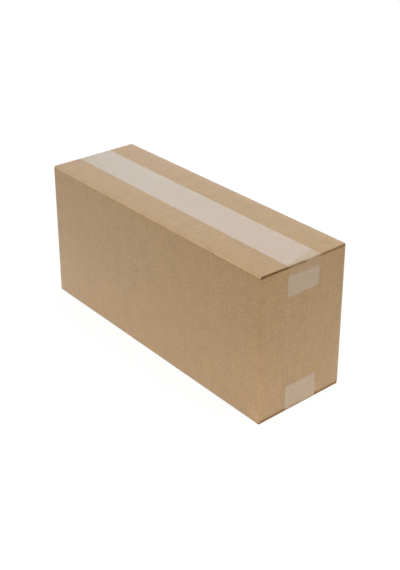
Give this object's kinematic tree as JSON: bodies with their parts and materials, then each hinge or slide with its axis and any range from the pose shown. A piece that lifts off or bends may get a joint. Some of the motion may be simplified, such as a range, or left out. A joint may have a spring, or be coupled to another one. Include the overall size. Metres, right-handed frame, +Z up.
{
  "type": "closed cardboard box",
  "caption": "Long narrow slotted carton of kraft corrugated board, folded shut and taped along its top and bottom seams.",
  "frame": {"origin": "middle of the underside, on the surface that the box stands on", "axes": "+X along the seam, +Y across the seam, +Z up"},
  "size_m": [0.3952, 0.127, 0.1822],
  "materials": {
    "kraft_board": "matte",
    "packing_tape": "satin"
  },
  "bodies": {
    "root": {"carton": "kraft_board", "top_tape": "packing_tape", "bottom_tape": "packing_tape"}
  },
  "joints": []
}
